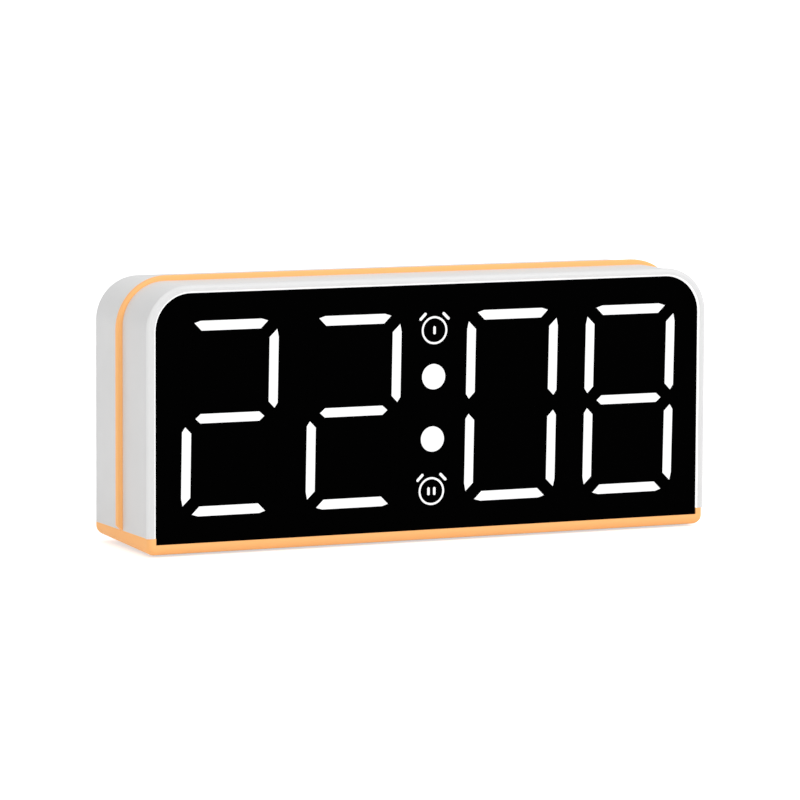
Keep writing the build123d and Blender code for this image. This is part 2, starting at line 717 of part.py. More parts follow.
with BuildPart() as colon_dots:
    with BuildSketch(at_depth(panel_front)):
        draw_dots()
        offset(amount=-GUIDE_CLEARANCE)
    extrude(amount=-PANEL_THICKNESS)
    with BuildSketch(at_depth(panel_back)):
        draw_dots()
        offset(amount=GUIDE_LIP)
    extrude(amount=-GUIDE_FLANGE)
save(colon_dots, "colon_dots")

alarm_icons = (("alarm_1_icon", alarm_1_level, ICON_1_BARS), ("alarm_2_icon", alarm_2_level, ICON_2_BARS))
for name, level, bars in alarm_icons:
    with BuildPart() as alarm_icon:
        with BuildSketch(at_depth(panel_front)):
            draw_icon(level, bars, -GUIDE_CLEARANCE)
        extrude(amount=-ICON_DEPTH)
    save(alarm_icon, name)

# Reflector: a white block with a tapered light well behind every bar, dot and sign
with BuildPart() as reflector_block:
    with BuildSketch(at_depth(flange_back)):
        with Locations((0, (reflector_low + reflector_top) / 2)):
            RectangleRounded(2 * reflector_half, reflector_top - reflector_low, REFLECTOR_CORNER)
    extrude(amount=-REFLECTOR_DEPTH)
    with BuildSketch(at_depth(flange_back)):
        for digit in digit_centres:
            draw_bars(digit, ALL_BARS)
        offset(amount=WELL_MARGIN, kind=Kind.INTERSECTION)
    extrude(amount=-REFLECTOR_DEPTH, taper=WELL_TAPER, mode=Mode.SUBTRACT)
    with BuildSketch(at_depth(flange_back)):
        draw_dots()
        with Locations(leaned(0, alarm_1_level), leaned(0, alarm_2_level)):
            Circle(ICON_RING / 2)
    extrude(amount=-REFLECTOR_DEPTH, taper=WELL_TAPER, mode=Mode.SUBTRACT)
save(reflector_block, "reflector_block")

# Display board: notched round the screw posts, with LEDs in the wells and driver chips behind
with BuildPart() as led_board:
    with BuildSketch(at_depth(reflector_back)):
        arch(led_board_half, led_board_low, led_board_top, body_radius - WALL - BOARD_CLEARANCE)
        for x, level in post_spots:
            with Locations((x, level)):
                Circle(FRONT_POST_RADIUS + BOARD_CLEARANCE, mode=Mode.SUBTRACT)
            with Locations((x + x / abs(x) * half_width / 2, level)):
                Rectangle(half_width, 2 * (FRONT_POST_RADIUS + BOARD_CLEARANCE), mode=Mode.SUBTRACT)
        with Locations(*led_boss_spots):
            Circle(screw_hole, mode=Mode.SUBTRACT)
    extrude(amount=-BOARD_THICKNESS)
save(led_board, "led_board")

with BuildPart() as led_chips:
    with BuildSketch(at_depth(reflector_back - LED_SIZE[2])):
        for digit, centre in digit_centres.items():
            for bar in ALL_BARS:
                upright = 90 if bar in "bcef" else 0
                with Locations(*[leaned(centre + x, digit_mid + z) for x, z in bar_leds(bar)]):
                    Rectangle(LED_SIZE[0], LED_SIZE[1], rotation=upright)
        with Locations(*[leaned(0, level) for level in (*dot_levels, alarm_1_level, alarm_2_level)]):
            Rectangle(LED_SIZE[0], LED_SIZE[1])
    extrude(amount=-LED_SIZE[2])
save(led_chips, "led_chips")

with BuildPart() as driver_chips:
    with BuildSketch(at_depth(led_board_back)):
        with Locations((-outer_digit, digit_mid), (outer_digit, digit_mid)):
            Rectangle(CHIP_SIZE[0], CHIP_SIZE[1])
    extrude(amount=-CHIP_SIZE[2])
    chamfer(driver_chips.edges().group_by(Axis.Y)[-1], CHIP_EDGE)
save(driver_chips, "driver_chips")

# Main board on the posts of the rear shell, with its controller and timekeeping crystal
main_middle = ((main_left + main_right) / 2, (main_low + main_top) / 2)
with BuildPart() as main_board:
    with BuildSketch(at_depth(main_front)):
        with Locations(main_middle):
            Rectangle(main_right - main_left, main_top - main_low)
        with Locations(*main_posts):
            Circle(screw_hole, mode=Mode.SUBTRACT)
    extrude(amount=-BOARD_THICKNESS)
save(main_board, "main_board")

with BuildPart() as controller_chip:
    with BuildSketch(at_depth(main_front)):
        with Locations((button_x[1], main_middle[1])):
            Rectangle(CHIP_SIZE[0], CHIP_SIZE[0])
    extrude(amount=CHIP_SIZE[2])
    chamfer(controller_chip.edges().group_by(Axis.Y)[0], CHIP_EDGE)
save(controller_chip, "controller_chip")

with BuildPart() as crystal:
    with BuildSketch(at_depth(main_front)):
        with Locations((button_x[3], main_middle[1])):
            SlotOverall(CRYSTAL_SIZE[0], CRYSTAL_SIZE[1])
    extrude(amount=CRYSTAL_SIZE[2])
    chamfer(crystal.edges().group_by(Axis.Y)[0], CRYSTAL_EDGE)
save(crystal, "crystal")

# Ribbon cable in an S between a socket on each board
socket_x = main_right - SOCKET_SIZE[0]
low_socket = digit_mid - RIBBON_RISE / 2
high_socket = digit_mid + RIBBON_RISE / 2
with BuildPart() as ribbon_sockets:
    with BuildSketch(at_depth(led_board_back)):
        with Locations((socket_x, low_socket - SOCKET_SIZE[1] / 2)):
            Rectangle(SOCKET_SIZE[0], SOCKET_SIZE[1])
    extrude(amount=-SOCKET_SIZE[2])
    with BuildSketch(at_depth(main_front)):
        with Locations((socket_x, high_socket + SOCKET_SIZE[1] / 2)):
            Rectangle(SOCKET_SIZE[0], SOCKET_SIZE[1])
    extrude(amount=SOCKET_SIZE[2])
save(ribbon_sockets, "ribbon_sockets")

ribbon_front = led_board_back + SOCKET_SIZE[2] / 2
ribbon_rear = main_front - SOCKET_SIZE[2] / 2
with BuildPart() as ribbon_cable:
    with BuildSketch(Plane.YZ.offset(socket_x - RIBBON_WIDTH / 2)):
        with BuildLine():
            FilletPolyline(
                (ribbon_front, low_socket),
                (ribbon_front, digit_mid),
                (ribbon_rear, digit_mid),
                (ribbon_rear, high_socket),
                radius=RIBBON_RADIUS,
            )
        trace(line_width=RIBBON_THICKNESS)
    extrude(amount=RIBBON_WIDTH)
save(ribbon_cable, "ribbon_cable")

# Push buttons, each resting on the plunger of its own tact switch
for name, x in zip(BUTTON_NAMES, button_x):
    with BuildPart() as push_button:
        with BuildSketch(at_depth(plunger_top)):
            with Locations((x, button_level)):
                Circle(BUTTON_STEM_RADIUS)
        extrude(amount=-BUTTON_STEM)
        with BuildSketch(at_depth(button_flange_front)):
            with Locations((x, button_level)):
                Circle(BUTTON_RADIUS + BUTTON_FLANGE_LIP)
        extrude(amount=-BUTTON_FLANGE)
        with BuildSketch(at_depth(button_flange_rear)):
            with Locations((x, button_level)):
                Circle(BUTTON_RADIUS)
        extrude(amount=button_flange_rear - recess_floor - BUTTON_PROUD)
        fillet(push_button.edges().group_by(Axis.Y)[-1], BUTTON_EDGE)
    save(push_button, f"{name}_button")

    with BuildPart() as plunger:
        with BuildSketch(at_depth(switch_top - PLUNGER_DEPTH)):
            with Locations((x, button_level)):
                Circle(PLUNGER_RADIUS)
        extrude(amount=-PLUNGER_DEPTH - PLUNGER_PROUD)
    save(plunger, f"{name}_plunger")

with BuildPart() as tact_switches:
    with BuildSketch(at_depth(main_rear)):
        with Locations(*[(x, button_level) for x in button_x]):
            Rectangle(SWITCH_SIDE, SWITCH_SIDE)
    extrude(amount=-SWITCH_HEIGHT)
    with BuildSketch(at_depth(switch_top)):
        with Locations(*[(x, button_level) for x in button_x]):
            Circle(PLUNGER_RADIUS + PLUNGER_CLEARANCE)
    extrude(amount=PLUNGER_DEPTH + BUTTON_TRAVEL + PLUNGER_CLEARANCE, mode=Mode.SUBTRACT)
save(tact_switches, "tact_switches")

# Brightness switch: a body on the main board and a ribbed knob that slides along X
dimmer_top = main_rear + DIMMER_BODY[2]
with BuildPart() as dimmer_switch:
    with BuildSketch(at_depth(main_rear)):
        with Locations((dimmer_x, button_level)):
            Rectangle(DIMMER_BODY[0], DIMMER_BODY[1])
    extrude(amount=-DIMMER_BODY[2])
    with BuildSketch(at_depth(dimmer_top)):
        with Locations((dimmer_x, button_level)):
            Rectangle(
                DIMMER_KNOB[0] + 2 * (DIMMER_TRAVEL + DIMMER_CLEARANCE),
                DIMMER_KNOB[1] + 2 * DIMMER_CLEARANCE,
            )
    extrude(amount=DIMMER_KNOB_DEPTH + DIMMER_CLEARANCE, mode=Mode.SUBTRACT)
save(dimmer_switch, "dimmer_switch")

knob_top = recess_floor + DIMMER_PROUD
with BuildPart() as dimmer_knob:
    with BuildSketch(at_depth(dimmer_top - DIMMER_KNOB_DEPTH)):
        with Locations((dimmer_x, button_level)):
            Rectangle(DIMMER_KNOB[0], DIMMER_KNOB[1])
    extrude(amount=dimmer_top - DIMMER_KNOB_DEPTH - knob_top)
    with BuildSketch(at_depth(knob_top)):
        with Locations((dimmer_x, button_level)):
            with GridLocations(DIMMER_KNOB[0] / DIMMER_RIBS, 0, DIMMER_RIBS, 1):
                Rectangle(DIMMER_RIB, DIMMER_KNOB[1])
    extrude(amount=DIMMER_RIB, mode=Mode.SUBTRACT)
save(dimmer_knob, "dimmer_knob")

# Alarm buzzer behind the sound holes
with BuildPart() as buzzer:
    with BuildSketch(at_depth(main_rear)):
        with Locations((buzzer_x, buzzer_level)):
            Circle(BUZZER_RADIUS)
    extrude(amount=-BUZZER_HEIGHT)
    chamfer(buzzer.edges().group_by(Axis.Y)[-1], BUZZER_EDGE)
    with BuildSketch(at_depth(main_rear + BUZZER_HEIGHT)):
        with Locations((buzzer_x, buzzer_level)):
            Circle(BUZZER_PORT)
    extrude(amount=BUZZER_HEIGHT / 2, mode=Mode.SUBTRACT)
save(buzzer, "buzzer")

# Power inlet: a steel shell round a moulded base and contact tongue
inlet_mouth = rear - INLET_SETBACK
with BuildPart() as inlet_shell:
    with BuildSketch(at_depth(main_rear)):
        with Locations((inlet_x, inlet_level)):
            SlotOverall(INLET_SIZE[0], INLET_SIZE[1])
            SlotOverall(INLET_SIZE[0] - 2 * INLET_WALL, INLET_SIZE[1] - 2 * INLET_WALL, mode=Mode.SUBTRACT)
    extrude(amount=main_rear - inlet_mouth)
save(inlet_shell, "inlet_shell")

with BuildPart() as inlet_tongue:
    with BuildSketch(at_depth(main_rear)):
        with Locations((inlet_x, inlet_level)):
            SlotOverall(INLET_SIZE[0] - 2 * INLET_WALL, INLET_SIZE[1] - 2 * INLET_WALL)
    extrude(amount=-INLET_BASE)
    with BuildSketch(at_depth(main_rear + INLET_BASE)):
        with Locations((inlet_x, inlet_level)):
            Rectangle(INLET_TONGUE[0], INLET_TONGUE[1])
    extrude(amount=main_rear + INLET_BASE + INLET_TONGUE_SETBACK - inlet_mouth)
save(inlet_tongue, "inlet_tongue")

# Backup cell: a wide can with a narrower cap towards the spring contact
with BuildPart() as coin_cell:
    with BuildSketch(at_depth(cell_front)):
        with Locations((bay_x, bay_level)):
            Circle(CELL_RADIUS - 2 * CELL_STEP)
    extrude(amount=-CELL_STEP)
    with BuildSketch(at_depth(cell_front + CELL_STEP)):
        with Locations((bay_x, bay_level)):
            Circle(CELL_RADIUS)
    extrude(amount=CELL_STEP - CELL_THICKNESS)
    chamfer(coin_cell.edges().group_by(Axis.Y)[-1], CELL_STEP)
save(coin_cell, "coin_cell")

# Cell contacts: a dimpled strip under the cell and a bent clip at its rim, both soldered to the main board
tail_left = main_right - CONTACT_TAIL
with BuildPart() as cell_base_contact:
    with BuildSketch(at_depth(bay_floor)):
        with Locations(((tail_left + bay_x + CONTACT_WIDTH) / 2, bay_level)):
            Rectangle(bay_x + CONTACT_WIDTH - tail_left, CONTACT_WIDTH)
    extrude(amount=-CONTACT_THICKNESS)
    with BuildSketch(at_depth(bay_floor + CONTACT_THICKNESS)):
        with Locations((bay_x, bay_level)):
            Circle(CONTACT_DIMPLE)
    extrude(amount=bay_floor + CONTACT_THICKNESS - cell_front, taper=CONTACT_SLOPE)
save(cell_base_contact, "cell_base_contact")

clip_low = bay_level + CELL_RADIUS + GUIDE_CLEARANCE
clip_high = bay_level + cup_radius + CONTACT_CLEARANCE
with BuildPart() as cell_side_contact:
    with BuildSketch(at_depth(bay_floor)):
        with Locations(((tail_left + bay_x + CONTACT_WIDTH / 2) / 2, clip_high + CONTACT_WIDTH / 2)):
            Rectangle(bay_x + CONTACT_WIDTH / 2 - tail_left, CONTACT_WIDTH)
        with Locations((bay_x, (clip_low + clip_high) / 2)):
            Rectangle(CONTACT_WIDTH, clip_high - clip_low)
    extrude(amount=-CONTACT_THICKNESS)
    with BuildSketch(at_depth(bay_floor)):
        with Locations((bay_x, clip_low + CONTACT_THICKNESS / 2)):
            Rectangle(CONTACT_WIDTH, CONTACT_THICKNESS)
    extrude(amount=bay_floor - cell_rear + CELL_STEP)
save(cell_side_contact, "cell_side_contact")

# Battery cover: a flange in the rear face, a hub, two bayonet lugs and a coin slot
with BuildPart() as battery_cover:
    with BuildSketch(at_depth(lug_front)):
        with Locations((bay_x, bay_level)):
            Circle(COVER_HUB_RADIUS)
    extrude(amount=lug_front - cover_face)
    with BuildSketch(at_depth(cover_face - COVER_FLANGE)):
        with Locations((bay_x, bay_level)):
            Circle(COVER_HUB_RADIUS + COVER_LIP)
    extrude(amount=-COVER_FLANGE)
    with BuildSketch(at_depth(lug_front)):
        with Locations((bay_x, bay_level)):
            Circle(lug_reach)
            Rectangle(2 * lug_reach, LUG_WIDTH, mode=Mode.INTERSECT)
    extrude(amount=-LUG_THICKNESS)
    with BuildSketch(at_depth(cover_face)):
        with Locations((bay_x, bay_level)):
            SlotOverall(COVER_SLOT[0], COVER_SLOT[1])
    extrude(amount=COVER_SLOT[2], mode=Mode.SUBTRACT)
save(battery_cover, "battery_cover")

# Screws along the depth: the head faces back for the case screws and forward for the board screws
with BuildPart() as case_screws:
    with BuildSketch(at_depth(case_screw_tip)):
        with Locations(*post_spots):
            Circle(SCREW_RADIUS)
    extrude(amount=case_screw_tip - case_seat)
    with BuildSketch(at_depth(case_seat)):
        with Locations(*post_spots):
            Circle(SCREW_HEAD_RADIUS)
    extrude(amount=-SCREW_HEAD_HEIGHT)
    with BuildSketch(at_depth(case_seat + SCREW_HEAD_HEIGHT)):
        with Locations(*post_spots):
            Rectangle(SCREW_DRIVE[0], SCREW_DRIVE[1])
            Rectangle(SCREW_DRIVE[1], SCREW_DRIVE[0])
    extrude(amount=SCREW_DRIVE[2], mode=Mode.SUBTRACT)
save(case_screws, "case_screws")

with BuildPart() as led_board_screws:
    with BuildSketch(at_depth(led_board_back)):
        with Locations(*led_boss_spots):
            Circle(SCREW_RADIUS)
    extrude(amount=BOARD_SCREW_LENGTH)
    with BuildSketch(at_depth(led_board_back)):
        with Locations(*led_boss_spots):
            Circle(SCREW_HEAD_RADIUS)
    extrude(amount=-SCREW_HEAD_HEIGHT)
    with BuildSketch(at_depth(led_board_back + SCREW_HEAD_HEIGHT)):
        with Locations(*led_boss_spots):
            Rectangle(SCREW_DRIVE[0], SCREW_DRIVE[1])
            Rectangle(SCREW_DRIVE[1], SCREW_DRIVE[0])
    extrude(amount=SCREW_DRIVE[2], mode=Mode.SUBTRACT)
save(led_board_screws, "led_board_screws")

with BuildPart() as main_board_screws:
    with BuildSketch(at_depth(main_front)):
        with Locations(*main_posts):
            Circle(SCREW_RADIUS)
    extrude(amount=-BOARD_SCREW_LENGTH)
    with BuildSketch(at_depth(main_front)):
        with Locations(*main_posts):
            Circle(SCREW_HEAD_RADIUS)
    extrude(amount=SCREW_HEAD_HEIGHT)
    with BuildSketch(at_depth(main_front - SCREW_HEAD_HEIGHT)):
        with Locations(*main_posts):
            Rectangle(SCREW_DRIVE[0], SCREW_DRIVE[1])
            Rectangle(SCREW_DRIVE[1], SCREW_DRIVE[0])
    extrude(amount=-SCREW_DRIVE[2], mode=Mode.SUBTRACT)
save(main_board_screws, "main_board_screws")

# Tray screws: countersunk heads just inside the underside of the tray
sunk_head = SCREW_HEAD_RADIUS - SCREW_RADIUS
with BuildPart() as base_screws:
    with Locations(
        *[
            (side * base_screw_x, depth, underside(depth) + SCREW_HEAD_CLEARANCE)
            for side in (-1, 1)
            for depth in (base_screw_front, base_screw_rear)
        ]
    ):
        Cone(SCREW_HEAD_RADIUS, SCREW_RADIUS, sunk_head, align=(Align.CENTER, Align.CENTER, Align.MIN))
        Cylinder(SCREW_RADIUS, BASE_SCREW_LENGTH, align=(Align.CENTER, Align.CENTER, Align.MIN))
        Box(*SCREW_DRIVE, align=(Align.CENTER, Align.CENTER, Align.MIN), mode=Mode.SUBTRACT)
        Box(
            SCREW_DRIVE[1],
            SCREW_DRIVE[0],
            SCREW_DRIVE[2],
            align=(Align.CENTER, Align.CENTER, Align.MIN),
            mode=Mode.SUBTRACT,
        )
save(base_screws, "base_screws")
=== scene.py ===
import logging
import math
from dataclasses import dataclass, field, replace
from enum import Enum

import bmesh
import bpy
from mathutils import Matrix, Vector


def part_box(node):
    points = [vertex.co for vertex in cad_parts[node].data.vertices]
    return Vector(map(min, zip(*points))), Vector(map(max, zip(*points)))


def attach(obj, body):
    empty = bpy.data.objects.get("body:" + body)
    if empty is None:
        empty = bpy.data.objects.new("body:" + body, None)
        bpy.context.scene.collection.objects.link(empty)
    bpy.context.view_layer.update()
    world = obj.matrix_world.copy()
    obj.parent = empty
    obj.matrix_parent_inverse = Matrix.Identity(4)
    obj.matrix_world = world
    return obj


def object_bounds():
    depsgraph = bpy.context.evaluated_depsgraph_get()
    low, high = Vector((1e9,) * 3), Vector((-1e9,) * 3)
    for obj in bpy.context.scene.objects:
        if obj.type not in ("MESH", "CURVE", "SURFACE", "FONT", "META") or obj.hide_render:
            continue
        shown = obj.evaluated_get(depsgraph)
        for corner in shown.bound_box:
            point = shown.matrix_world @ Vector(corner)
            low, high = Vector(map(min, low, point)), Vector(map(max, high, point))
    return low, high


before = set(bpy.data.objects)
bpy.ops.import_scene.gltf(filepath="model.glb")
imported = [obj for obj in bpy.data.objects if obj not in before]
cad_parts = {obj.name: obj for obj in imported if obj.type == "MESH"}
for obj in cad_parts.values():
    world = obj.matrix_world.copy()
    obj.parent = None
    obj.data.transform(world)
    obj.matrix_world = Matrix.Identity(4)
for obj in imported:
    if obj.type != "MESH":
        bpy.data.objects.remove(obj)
CAD_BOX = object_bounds()

logging.basicConfig(level=logging.INFO, format="%(message)s")
log = logging.getLogger("desk_clock")

Colour = tuple[float, float, float]
Triple = tuple[float, float, float]
Point = tuple[float, float]
Socket = bpy.types.NodeSocket

MM = 0.001
WHITE = (1.0, 1.0, 1.0, 1.0)
EVEN = (1.0, 1.0, 1.0)

# Grey values between which most of a noise lies
NOISE_LOW = 0.3
NOISE_HIGH = 0.7

# Sockets of the mix node that take and give colours
MIX_FIRST = 6
MIX_SECOND = 7
MIX_RESULT = 2


@dataclass(frozen=True)
class Mottle:
    """A drift of colour or roughness over a piece, in soft blotches.

    Attributes:
        size: width of one blotch, in metres.
        drift: how far the colour or roughness drifts.
        detail: how many finer layers the blotches have.
        stretch: how far they are drawn out along each axis.
    """

    size: float
    drift: float
    detail: float = 2.0
    stretch: Triple = EVEN


@dataclass(frozen=True)
class Grain:
    """A fine relief of a surface.

    Attributes:
        size: width of one grain, in metres.
        depth: its depth, in metres.
        strength: how strongly it shows.
        detail: how many finer layers it has.
        stretch: how far it is drawn out along each axis.
    """

    size: float
    depth: float
    strength: float = 0.2
    detail: float = 1.0
    stretch: Triple = EVEN


def tinted(colour: Colour, factor: float) -> Colour:
    """A colour made lighter or darker by a factor."""
    return tuple(min(1.0, c * factor) for c in colour)


class Graph:
    """A new material's node graph, with short calls for the nodes that the finishes share."""

    def __init__(self, name: str) -> None:
        """Start the graph of a new, empty material.

        Args:
            name: the material's name.
        """
        self.material = bpy.data.materials.new(name)
        self.material.use_nodes = True
        self.tree = self.material.node_tree
        self.tree.nodes.clear()
        spot = self.tree.nodes.new("ShaderNodeTexCoord")
        self.place = spot.outputs["Object"]
        self.facing = spot.outputs["Normal"]

    def link(self, source: Socket, target: Socket) -> None:
        """Join two sockets."""
        self.tree.links.new(source, target)

    def surface(self, **values: object) -> bpy.types.Node:
        """Add the main shader and set its sockets.

        Args:
            values: socket names, with _ for spaces, and their values.

        Returns:
            The shader node.
        """
        shader = self.tree.nodes.new("ShaderNodeBsdfPrincipled")
        for name, value in values.items():
            shader.inputs[name.replace("_", " ")].default_value = value
        output = self.tree.nodes.new("ShaderNodeOutputMaterial")
        self.link(shader.outputs[0], output.inputs["Surface"])
        return shader

    def work_out(self, operation: str, first: object, second: object = 0.0) -> Socket:
        """Add one step of arithmetic.

        Args:
            operation: what is done with the two values.
            first: a socket or a number.
            second: a socket or a number.

        Returns:
            The result.
        """
        node = self.tree.nodes.new("ShaderNodeMath")
        node.operation = operation
        for value, socket in zip((first, second), node.inputs):
            if isinstance(value, Socket):
                self.link(value, socket)
            else:
                socket.default_value = value
        return node.outputs[0]

    def split(self, value: Socket) -> list[Socket]:
        """The three components of a vector."""
        node = self.tree.nodes.new("ShaderNodeSeparateXYZ")
        self.link(value, node.inputs[0])
        return list(node.outputs)

    def noise(self, pattern: Mottle | Grain) -> Socket:
        """Add a noise over the object.

        Args:
            pattern: its size, detail and stretch.

        Returns:
            The noise's grey value.
        """
        scale = self.tree.nodes.new("ShaderNodeMapping")
        scale.inputs["Scale"].default_value = [1 / (pattern.size * s) for s in pattern.stretch]
        self.link(self.place, scale.inputs["Vector"])
        node = self.tree.nodes.new("ShaderNodeTexNoise")
        node.inputs["Scale"].default_value = 1.0
        node.inputs["Detail"].default_value = pattern.detail
        self.link(scale.outputs[0], node.inputs["Vector"])
        return node.outputs[0]

    def spread(self, mottle: Mottle, low: float, high: float) -> Socket:
        """A value that changes from blotch to blotch.

        Args:
            mottle: the blotches.
            low: the value in the darkest of them.
            high: the value in the lightest of them.

        Returns:
            The value.
        """
        node = self.tree.nodes.new("ShaderNodeMapRange")
        ends = {"From Min": NOISE_LOW, "From Max": NOISE_HIGH, "To Min": low, "To Max": high}
        for name, number in ends.items():
            node.inputs[name].default_value = number
        self.link(self.noise(mottle), node.inputs["Value"])
        return node.outputs[0]

    def drifting_value(self, middle: float, mottle: Mottle) -> Socket:
        """A number that drifts up and down from its middle, in blotches."""
        return self.spread(mottle, middle - mottle.drift, middle + mottle.drift)

    def drifting_colour(self, colour: Colour, mottle: Mottle) -> Socket:
        """A colour that darkens in blotches.

        Args:
            colour: the colour where it is lightest.
            mottle: the blotches.

        Returns:
            The colour.
        """
        node = self.tree.nodes.new("ShaderNodeMix")
        node.data_type = "RGBA"
        node.inputs[MIX_FIRST].default_value = (*tinted(colour, 1 - mottle.drift), 1)
        node.inputs[MIX_SECOND].default_value = (*colour, 1)
        self.link(self.spread(mottle, 0, 1), node.inputs["Factor"])
        return node.outputs[MIX_RESULT]

    def relief(self, grain: Grain) -> Socket:
        """The normal of a grained surface.

        Args:
            grain: its grain.

        Returns:
            The normal.
        """
        node = self.tree.nodes.new("ShaderNodeBump")
        node.inputs["Distance"].default_value = grain.depth
        node.inputs["Strength"].default_value = grain.strength
        self.link(self.noise(grain), node.inputs["Height"])
        return node.outputs[0]


@dataclass(frozen=True)
class Skin:
    """What all finishes share: a colour that drifts a little, a gloss and a fine grain.

    Attributes:
        name: the finish's name.
        colour: its lightest colour, linear.
        clouds: how its colour drifts.
        roughness: its middle roughness.
        grain: its fine relief.
        specular: strength of its gloss.
        patches: how its roughness drifts, or None where it is the same all over.
        metallic: 1 for bare metal.
    """

    name: str
    colour: Colour
    clouds: Mottle
    roughness: float
    grain: Grain
    specular: float
    patches: Mottle | None = None
    metallic: float = 0.0

    def make(self) -> bpy.types.Material:
        """Build the material."""
        graph = Graph(self.name)
        shader = graph.surface(
            Metallic=self.metallic, Roughness=self.roughness, Specular_IOR_Level=self.specular
        )
        tone = graph.drifting_colour(self.colour, self.clouds)
        graph.link(tone, shader.inputs["Base Color"])
        if self.patches:
            graph.link(graph.drifting_value(self.roughness, self.patches), shader.inputs["Roughness"])
        graph.link(graph.relief(self.grain), shader.inputs["Normal"])
        self.brighten(graph, shader, tone)
        return graph.material

    def brighten(self, graph: Graph, shader: bpy.types.Node, tone: Socket) -> None:
        """Leave the finish as it is; the lit guides add their light here, the shell its painted highlights
        and the trim its painted glow.

        Args:
            graph: the material's graph.
            shader: its main shader.
            tone: its colour over the piece.
        """


@dataclass(frozen=True)
class MouldedPlastic(Skin):
    """Injection-moulded plastic with a fine spark-eroded grain."""

    clouds: Mottle = Mottle(22 * MM, 0.02, detail=3.0)
    roughness: float = 0.42
    grain: Grain = Grain(0.22 * MM, 0.006 * MM, strength=0.35, detail=2.0)
    specular: float = 0.4
    patches: Mottle | None = Mottle(4 * MM, 0.05)


@dataclass(frozen=True)
class TrimPlastic(MouldedPlastic):
    """Moulded plastic with a painted glow: emission in its own colour on every face but its underside, which
    evens out its shading.

    Attributes:
        glow: strength of the painted glow, as a share of its colour.
        underside: how far down a face may turn and still glow.
    """

    glow: float = 0.2
    underside: float = 0.9

    def brighten(self, graph: Graph, shader: bpy.types.Node, tone: Socket) -> None:
        """Add the painted glow as emission."""
        _, _, turn_z = graph.split(graph.facing)
        # painted glow: emission in the trim's own colour on every face but the underside
        lit = graph.work_out("GREATER_THAN", turn_z, -self.underside)
        graph.link(tone, shader.inputs["Emission Color"])
        graph.link(graph.work_out("MULTIPLY", lit, self.glow), shader.inputs["Emission Strength"])


@dataclass(frozen=True)
class ShellPlastic(MouldedPlastic):
    """Moulded plastic with painted highlights: white emission on the bevel round the display and on the left
    front edge.

    Attributes:
        painted_bevel_highlight: strength of the white emission painted as a highlight on the bevel.
        slant: how far a face must turn both forward and inward to belong to the bevel.
        painted_edge_highlight: strength of the white emission painted as a highlight on the front edge where
            it starts to turn forward.
        edge_slant: how far a face must turn both forward and left to belong to that edge.
    """

    painted_bevel_highlight: float = 0.65
    slant: float = 0.35
    painted_edge_highlight: float = 0.11
    edge_slant: float = 0.2

    def brighten(self, graph: Graph, shader: bpy.types.Node, tone: Socket) -> None:
        """Add the painted highlights of bevel and edge, as white emission."""
        across, _, _ = graph.split(graph.place)
        turn_x, turn_y, turn_z = graph.split(graph.facing)
        inward = graph.work_out("MULTIPLY", graph.work_out("SIGN", across), turn_x)
        inward = graph.work_out("MINIMUM", inward, turn_z)
        # painted highlight on the bevel round the display: white emission on faces that turn forward and
        # inward
        bevel = graph.work_out("LESS_THAN", graph.work_out("MAXIMUM", inward, turn_y), -self.slant)
        # painted highlight on the left front edge: white emission that fades as the face turns forward
        edge = graph.work_out("LESS_THAN", graph.work_out("MAXIMUM", turn_x, turn_y), -self.edge_slant)
        edge = graph.work_out("MULTIPLY", edge, graph.work_out("MULTIPLY", turn_x, -self.painted_edge_highlight))
        # sum of the painted highlights, given off as white emission
        painted_highlights = graph.work_out("ADD", graph.work_out("MULTIPLY", bevel, self.painted_bevel_highlight), edge)
        shader.inputs["Emission Color"].default_value = WHITE
        graph.link(painted_highlights, shader.inputs["Emission Strength"])


@dataclass(frozen=True)
class SmokedFace(Skin):
    """Black acrylic with a non-glare coat that has been wiped crossways."""

    colour: Colour = (0.0002, 0.0002, 0.00021)
    clouds: Mottle = Mottle(30 * MM, 0.3)
    roughness: float = 0.34
    grain: Grain = Grain(0.12 * MM, 0.002 * MM)
    specular: float = 0.004
    patches: Mottle | None = Mottle(6 * MM, 0.06, detail=4.0, stretch=(3.0, 1.0, 1.0))


@dataclass(frozen=True)
class LitGuide(Skin):
    """White light guide, lit from behind.

    Attributes:
        glow: the colour of its light, linear.
        hot_spots: how that colour drifts.
        strength: the brightness of its light.
    """

    colour: Colour = (0.12, 0.12, 0.125)
    clouds: Mottle = Mottle(3 * MM, 0.06)
    roughness: float = 0.45
    grain: Grain = Grain(0.2 * MM, 0.003 * MM)
    specular: float = 0.1
    glow: Colour = (1.0, 1.0, 1.0)
    hot_spots: Mottle = Mottle(5 * MM, 0.02, detail=1.0)
    strength: float = 1.0

    def brighten(self, graph: Graph, shader: bpy.types.Node, tone: Socket) -> None:
        """Add the light from behind."""
        graph.link(graph.drifting_colour(self.glow, self.hot_spots), shader.inputs["Emission Color"])
        shader.inputs["Emission Strength"].default_value = self.strength


@dataclass(frozen=True)
class CircuitBoard(Skin):
    """Glass-fibre board under a green mask, with the weave just showing."""

    colour: Colour = (0.012, 0.13, 0.05)
    clouds: Mottle = Mottle(0.6 * MM, 0.25, detail=1.0, stretch=(1.0, 1.0, 8.0))
    roughness: float = 0.32
    grain: Grain = Grain(0.6 * MM, 0.01 * MM, strength=0.3, stretch=(8.0, 1.0, 1.0))
    specular: float = 0.5


@dataclass(frozen=True)
class PlatedMetal(Skin):
    """Plated sheet or wire, lightly brushed."""

    clouds: Mottle = Mottle(4 * MM, 0.12, detail=3.0)
    roughness: float = 0.28
    grain: Grain = Grain(0.3 * MM, 0.004 * MM, detail=3.0, stretch=(6.0, 1.0, 1.0))
    specular: float = 0.5
    patches: Mottle | None = Mottle(0.3 * MM, 0.1, detail=3.0, stretch=(6.0, 1.0, 1.0))
    metallic: float = 1.0


